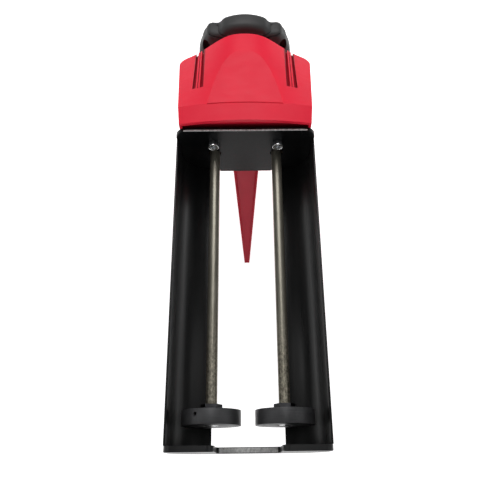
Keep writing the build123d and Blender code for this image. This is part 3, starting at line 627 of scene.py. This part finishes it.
# %% Bend the rails
rail_low, rail_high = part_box("right_rail")
sheet = 1.5 * MM
wall_x = rail_high.x - sheet / 2
curl_radius = -rail_low.z - sheet / 2
rail_length = rail_high.y - rail_low.y
wall_centre = (wall_x, (rail_low.y + rail_high.y) / 2, rail_high.z / 2)
right_rail = primitive(
    bpy.ops.mesh.primitive_plane_add,
    "rail_right",
    size=1,
    location=wall_centre,
    rotation=(0, math.radians(90), 0),
)
edit(right_rail)
bpy.ops.mesh.select_all(action="SELECT")
bpy.ops.transform.resize(value=(1, rail_length, rail_high.z), center_override=wall_centre)
pick(right_rail, "edges", lambda edge, middle: middle.z < 0.0001)
bpy.ops.mesh.spin(
    steps=16, angle=math.radians(-90), center=(wall_x - curl_radius, 0, 0), axis=(0, 1, 0)
)
bpy.ops.mesh.select_all(action="SELECT")
bpy.ops.mesh.remove_doubles(threshold=0.00001)
bpy.ops.mesh.normals_make_consistent(inside=False)
bpy.ops.object.mode_set(mode="OBJECT")
thickness = right_rail.modifiers.new("sheet", "SOLIDIFY")
thickness.thickness = sheet
thickness.offset = 0
bpy.ops.object.modifier_apply(modifier=thickness.name)
soften(right_rail, 0.45 * MM, 3, 50)
left_rail = copy_of(right_rail, "rail_left")
flip_x(left_rail)
dress(right_rail, "right_rail")
dress(left_rail, "left_rail")
print("rail box:", [round(value, 4) for value in right_rail.dimensions])

# %% [markdown]
# ## Screws in the rear plate
#
# Two socket-head screws hold the plate to the block behind it. A cylinder makes the head, an inset
# and an extrusion grow the shank from its back, and a six-sided cutter leaves the socket. The
# dished front and the rounded rim are what make a turned head look turned.

# %% Turn the plate screws
head_low, head_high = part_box("plate_screws")
head_radius = (head_high.z - head_low.z) / 2
head_x = head_high.x - head_radius
head_z = head_low.z + head_radius
shank_radius = 2.5 * MM
socket_radius = 2.31 * MM
screw = primitive(
    bpy.ops.mesh.primitive_cylinder_add,
    "plate_screw_right",
    vertices=64,
    radius=head_radius,
    depth=-head_low.y,
    location=(head_x, head_low.y / 2, head_z),
    rotation=(math.radians(90), 0, 0),
)
edit(screw)
pick(screw, "faces", lambda face, middle: abs(middle.y) < 0.00001)
bpy.ops.mesh.inset(thickness=head_radius - shank_radius)
push((0, head_high.y, 0))
pick(screw, "faces", lambda face, middle: abs(middle.y - head_low.y) < 0.00001)
bpy.ops.mesh.inset(thickness=0.7 * MM)
bpy.ops.mesh.inset(thickness=0.25 * MM)
bpy.ops.transform.translate(value=(0, 0.2 * MM, 0))
bpy.ops.object.mode_set(mode="OBJECT")
socket = primitive(
    bpy.ops.mesh.primitive_cylinder_add,
    "socket_cutter",
    vertices=6,
    radius=socket_radius,
    depth=5.6 * MM,
    location=(head_x, head_low.y, head_z),
    rotation=(math.radians(90), 0, 0),
)
carve(screw, socket)
soften(screw, 0.3 * MM, 3)
left_screw = copy_of(screw, "plate_screw_left")
flip_x(left_screw)
dress(screw, "plate_screws")
dress(left_screw, "plate_screws")

# %% [markdown]
# ## Thrust discs
#
# The discs press on the cartridge's pistons. Each is a slice of bar with a countersunk screw in
# front and a grub screw in its rim. The front is inset to the countersink, pushed in and tapered;
# the hole in the rim is drilled with a thin cylinder. The right disc is a copy turned half round,
# as nothing holds the two alike.

# %% Turn the thrust discs
disc_low, disc_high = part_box("left_thrust_disc")
disc_centre = (disc_low + disc_high) / 2
disc_radius = (disc_high.z - disc_low.z) / 2
disc = primitive(
    bpy.ops.mesh.primitive_cylinder_add,
    "disc_left",
    vertices=128,
    radius=disc_radius,
    depth=disc_high.y - disc_low.y,
    location=disc_centre,
    rotation=(math.radians(90), 0, 0),
)
countersink_radius, countersink_depth = 5.2 * MM, 2.7 * MM
rod_bore_radius, rod_bore_depth = 4.02 * MM, 5.4 * MM
edit(disc)
pick(disc, "faces", lambda face, middle: abs(middle.y - disc_low.y) < 0.00001)
bpy.ops.mesh.inset(thickness=disc_radius - countersink_radius)
push((0, countersink_depth, 0))
bpy.ops.transform.resize(value=(0.5, 1, 0.5))
pick(disc, "faces", lambda face, middle: abs(middle.y - disc_high.y) < 0.00001)
bpy.ops.mesh.inset(thickness=disc_radius - rod_bore_radius)
push((0, -rod_bore_depth, 0))
bpy.ops.object.mode_set(mode="OBJECT")
hole_angle = math.radians(28)
hole_offset = Vector((0, 1.5 * MM, 0))
hole_direction = Vector((-math.sin(hole_angle), 0, math.cos(hole_angle)))
drill = primitive(
    bpy.ops.mesh.primitive_cylinder_add,
    "grub_screw_drill",
    vertices=24,
    radius=1.3 * MM,
    depth=8 * MM,
    location=disc_centre + hole_direction * disc_radius + hole_offset,
    rotation=(0, -hole_angle, 0),
)
carve(disc, drill)
soften(disc, 0.35 * MM, 3)
right_disc = copy_of(disc, "disc_right")
shift_x(right_disc, -2 * disc_centre.x)
edit(right_disc)
bpy.ops.mesh.select_all(action="SELECT")
turned_centre = (-disc_centre.x, disc_centre.y, disc_centre.z)
bpy.ops.transform.rotate(value=math.pi, orient_axis="Y", center_override=turned_centre)
bpy.ops.object.mode_set(mode="OBJECT")
dress(disc, "left_thrust_disc")
dress(right_disc, "right_thrust_disc")

# %% [markdown]
# ## Trigger
#
# The trigger is a long moulded lever. It is widest at the root and comes to a narrow tip, and its
# front is hollowed between two rims for the fingers. A box leans along the lever, its foot is
# squeezed to the tip's size, and its head is extruded round to the pin. The recess is an inset
# pushed in, deeper at the root.

# %% Shape the trigger's lever
pivot_y, pivot_z = 30 * MM, -12 * MM
tip = Vector((0, -49 * MM, -125 * MM))
root = Vector((0, 6.4 * MM, -31 * MM))
trigger_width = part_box("trigger")[1].x * 2
tip_width, tip_depth, root_depth = 4.8 * MM, 8 * MM, 13 * MM
hub_radius = 7.3 * MM
head_step = 9 * MM
head_turn = math.radians(25)
upward = (root - tip).normalized()
inward = Vector((0, upward.z, -upward.y))
lever_lean = math.atan2(upward.y, upward.z)
lever_middle = (tip + root) / 2 + inward * root_depth / 2
trigger = primitive(
    bpy.ops.mesh.primitive_cube_add,
    "trigger_lever",
    size=1,
    location=lever_middle,
    rotation=(-lever_lean, 0, 0),
    scale=(trigger_width, root_depth, (root - tip).length),
)
edit(trigger)
foot_middle = tip + inward * root_depth / 2
pick(trigger, "faces", lambda face, middle: (middle - foot_middle).length < 0.0005)
squeeze = tip_depth / root_depth
bpy.ops.transform.resize(
    value=(tip_width / trigger_width, squeeze, squeeze), center_override=tuple(tip)
)
print("lever lean:", round(math.degrees(lever_lean), 1), "degrees")

# %% Extrude the trigger's head round to the pin
head_middle = root + inward * root_depth / 2
pick(trigger, "faces", lambda face, middle: (middle - head_middle).length < 0.0005)
push((0, head_step, head_step))
bpy.ops.transform.rotate(
    value=head_turn, orient_axis="X",
    center_override=(0, head_middle.y + head_step, head_middle.z + head_step),
)
push((0, pivot_y - head_middle.y - head_step, pivot_z - head_middle.z - head_step))
pick(
    trigger, "faces",
    lambda face, middle: face.normal.dot(-inward) > 0.99 and middle.z < root.z,
)
bpy.ops.mesh.inset(thickness=1.2 * MM)
push(inward * 0.3 * MM)
pick(
    trigger, "verts",
    lambda corner, middle: abs(middle.x) > 8 * MM and (middle - root).dot(inward) > 0.0002
    and (middle - root).dot(inward) < 0.0005 and middle.z > root.z - 6 * MM,
)
bpy.ops.transform.resize(value=(0.83, 1, 1), center_override=tuple(root))
bpy.ops.transform.translate(value=tuple(inward * 1.9 * MM - upward * 5 * MM))
bpy.ops.object.mode_set(mode="OBJECT")

# %% Fit the trigger's hub, fork and holes
hub = primitive(
    bpy.ops.mesh.primitive_cylinder_add,
    "hub", vertices=64, radius=hub_radius, depth=trigger_width,
    location=(0, pivot_y, pivot_z), rotation=(0, math.radians(90), 0),
)
carve(trigger, hub, "UNION")
fork_low, fork_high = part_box("trigger_cam")
fork = primitive(
    bpy.ops.mesh.primitive_cube_add,
    "fork_cutter", size=1, location=(0, pivot_y + 1.5 * MM, -14 * MM),
    scale=(fork_high.x - fork_low.x + 0.2 * MM, 33 * MM, 31.5 * MM),
)
carve(trigger, fork)
pin_hole = (pivot_y, pivot_z, 3.06 * MM)
rivet_holes = ((21 * MM, -23.5 * MM, 1.52 * MM), (29 * MM, -24.5 * MM, 1.52 * MM))
for y, z, radius in (pin_hole, *rivet_holes):
    hole = primitive(
        bpy.ops.mesh.primitive_cylinder_add,
        "hole_drill", vertices=32, radius=radius, depth=2 * trigger_width,
        location=(0, y, z), rotation=(0, math.radians(90), 0),
    )
    carve(trigger, hole)
soften(trigger, 0.9 * MM, 3)
dress(trigger, "trigger")

# %% [markdown]
# ## Rear yoke
#
# The yoke ties the two rods together, and pulling it draws them back. It is a thick moulding:
# nearly a half ring with a dome on top, an ear over each rod and an arch for a finger below. A face
# spun half round makes the ring, so the arch comes out truly round. Its two ends are extruded to
# the feet. Proportional editing then dents the outline beside the dome, so the dome and the ears
# swell out of one soft curve.

# %% Spin the yoke's ring
yoke_low, yoke_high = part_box("rear_yoke")
ring_centre = Vector((0, (yoke_low.y + yoke_high.y) / 2, -4 * MM))
ring_inner = 12.4 * MM
ring_outer = yoke_high.z - ring_centre.z
ring_middle = (ring_inner + ring_outer) / 2
ring_start = (ring_middle, ring_centre.y, ring_centre.z)
yoke = primitive(
    bpy.ops.mesh.primitive_plane_add, "yoke_moulding", size=1, location=ring_start
)
edit(yoke)
bpy.ops.mesh.select_all(action="SELECT")
yoke_depth = yoke_high.y - yoke_low.y
bpy.ops.transform.resize(value=(ring_outer - ring_inner, yoke_depth, 1), center_override=ring_start)
bpy.ops.mesh.spin(steps=60, angle=math.pi, center=tuple(ring_centre), axis=(0, 1, 0))
bpy.ops.mesh.select_all(action="SELECT")
bpy.ops.mesh.remove_doubles(threshold=0.00001)
bpy.ops.mesh.normals_make_consistent(inside=False)
feet = pick(
    yoke, "faces",
    lambda face, middle: abs(middle.z - ring_centre.z) < 0.0001 and abs(middle.x) > ring_inner,
)
push((0, 0, yoke_low.z - ring_centre.z))
print("yoke feet:", feet, "of height", round(ring_centre.z - yoke_low.z, 4))

# %% Dent the outline beside the dome and swell the ears
def move_outline(piece, angle, amount, reach):
    """Moves the ring's outer corners near an angle from straight up, with a soft fall-off on both sides."""
    outward = Vector((math.sin(angle), 0, math.cos(angle)))
    target = ring_centre + outward * ring_outer
    moved = pick(piece, "verts", lambda corner, middle: (middle - target).xz.length < 1.8 * MM)
    bpy.ops.transform.translate(
        value=tuple(outward * amount), use_proportional_edit=True,
        proportional_size=reach, proportional_edit_falloff="SMOOTH",
    )
    return moved


for side in (-1, 1):
    moved = move_outline(yoke, side * math.radians(35), -1.9 * MM, 6 * MM)
    moved += move_outline(yoke, side * math.radians(43), 1.9 * MM, 4.5 * MM)
    moved += move_outline(yoke, side * math.radians(53), 1.6 * MM, 9 * MM)
bpy.ops.object.mode_set(mode="OBJECT")
soften(yoke, 4.8 * MM, 6, 50)
print("outline corners moved on each side:", moved)

# %% Cut the yoke's grooves, hollows and bores
rod_radius = (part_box("right_rod")[1].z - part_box("right_rod")[0].z) / 2
rod_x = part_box("right_rod")[1].x - rod_radius
groove_gap = 2.6
groove_lean = math.radians(12)
hollow_x, hollow_z = 33 * MM, 13.5 * MM
for side in (-1, 1):
    for step in (0, groove_gap):
        groove = primitive(
            bpy.ops.mesh.primitive_cube_add, "groove_cutter", size=1,
            location=(side * (20 + step) * MM, yoke_low.y, (26.8 - step) * MM),
            rotation=(0, -side * groove_lean, 0), scale=(20 * MM, 21 * MM, 1.0 * MM),
        )
        carve(yoke, groove)
    hollow = primitive(
        bpy.ops.mesh.primitive_cylinder_add, "hollow_cutter", vertices=48, radius=3.2 * MM,
        depth=12 * MM, location=(side * hollow_x, yoke_low.y, hollow_z),
        rotation=(math.radians(90), 0, 0), stretch=(1, 2, 1),
    )
    carve(yoke, hollow)
    bore = primitive(
        bpy.ops.mesh.primitive_cylinder_add, "bore_cutter", vertices=48,
        radius=rod_radius + 0.02 * MM, depth=24 * MM, location=(side * rod_x, yoke_low.y, 0),
        rotation=(math.radians(90), 0, 0),
    )
    carve(yoke, bore)
    screw_hole = primitive(
        bpy.ops.mesh.primitive_cylinder_add, "screw_hole_cutter", vertices=32, radius=2.05 * MM,
        depth=12 * MM, location=(side * rod_x, ring_centre.y, yoke_low.z),
    )
    carve(yoke, screw_hole)
soften(yoke, 0.35 * MM, 2, 50)
dress(yoke, "rear_yoke")

# %% [markdown]
# ## Grip sleeve
#
# A rubber sleeve wraps the back and sides of the handle. It follows the handle, which leans back
# and changes width, so an oval is extruded down from one height to the next, moved and resized at
# each. A plane along the handle then cuts the front away, and Solidify turns the skin into rubber
# with a rounded edge.

# %% Stretch the sleeve over the handle
# height, middle in Y, width in X and depth in Y of the handle, in millimetres
handle_ovals = [(-52, 69.2, 30.8, 36.8), (-68, 72.0, 30.2, 36.1), (-84, 75.0, 30.0, 36.0),
                (-101, 78.1, 30.3, 36.6), (-118, 81.5, 31.0, 38.0), (-132, 84.7, 33.2, 42.4)]
first_z, first_y, first_width, first_depth = handle_ovals[0]
sleeve = primitive(
    bpy.ops.mesh.primitive_circle_add, "grip_rubber", vertices=96,
    radius=0.5 * MM, location=(0, first_y * MM, first_z * MM), stretch=(first_width, first_depth, 1),
)
edit(sleeve)
bpy.ops.mesh.select_all(action="SELECT")
for above, below in zip(handle_ovals, handle_ovals[1:]):
    bpy.ops.mesh.extrude_region_move(
        TRANSFORM_OT_translate={"value": (0, (below[1] - above[1]) * MM, (below[0] - above[0]) * MM)}
    )
    bpy.ops.transform.resize(
        value=(below[2] / above[2], below[3] / above[3], 1),
        center_override=(0, below[1] * MM, below[0] * MM),
    )
bpy.ops.mesh.select_all(action="SELECT")
bpy.ops.mesh.normals_make_consistent(inside=False)
cut_top = Vector((0, 66 * MM, -45 * MM))
cut_foot = Vector((0, 80 * MM, -140 * MM))
along_cut = cut_foot - cut_top
bpy.ops.mesh.bisect(
    plane_co=tuple(cut_top), plane_no=(0, along_cut.z, -along_cut.y), clear_outer=True
)
bpy.ops.object.mode_set(mode="OBJECT")
print("sleeve box:", [round(value, 4) for value in sleeve.dimensions])

# %% Thicken and round the sleeve
rubber = sleeve.modifiers.new("rubber", "SOLIDIFY")
rubber.thickness = 2.5 * MM
rubber.offset = 0.5
bpy.ops.object.modifier_apply(modifier=rubber.name)
soften(sleeve, 0.7 * MM, 3, 50)
dress(sleeve, "grip_sleeve")

# %% [markdown]
# ## Drive springs
#
# A coil spring sits on each rod between the front bush and the drive plate, and the plate squashes
# it as the trigger is pulled. The wire's round section is a small circle, and the Screw modifier
# winds it round the rod while it moves along.

# %% Wind the drive springs
coil_low, coil_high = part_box("right_drive_spring")
wire_radius = 0.6 * MM
coil_radius = (coil_high.x - coil_low.x) / 2 - wire_radius
coil_pitch = 3.4 * MM
coil_length = coil_high.y - coil_low.y - 2 * wire_radius
spring = primitive(
    bpy.ops.mesh.primitive_circle_add, "drive_spring_right", vertices=12, radius=wire_radius,
    location=(coil_radius, 0, 0),
)
winding = spring.modifiers.new("winding", "SCREW")
winding.axis = "Y"
winding.angle = 2 * math.pi * coil_length / coil_pitch
winding.screw_offset = coil_length
winding.steps = 160
winding.render_steps = 160
winding.use_merge_vertices = False
bpy.ops.object.modifier_apply(modifier=winding.name)
edit(spring)
bpy.ops.mesh.select_all(action="SELECT")
bpy.ops.transform.translate(value=(rod_x, coil_low.y + wire_radius, 0))
bpy.ops.mesh.normals_make_consistent(inside=False)
bpy.ops.object.mode_set(mode="OBJECT")
bpy.ops.object.shade_smooth_by_angle(angle=math.radians(50))
print("spring box:", [round(value, 4) for value in spring.dimensions])

# %% Fit a spring to each rod
left_spring = copy_of(spring, "drive_spring_left")
shift_x(left_spring, -2 * rod_x)
for coil, node_name in ((spring, "right_drive_spring"), (left_spring, "left_drive_spring")):
    dress(coil, node_name)
    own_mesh(coil)
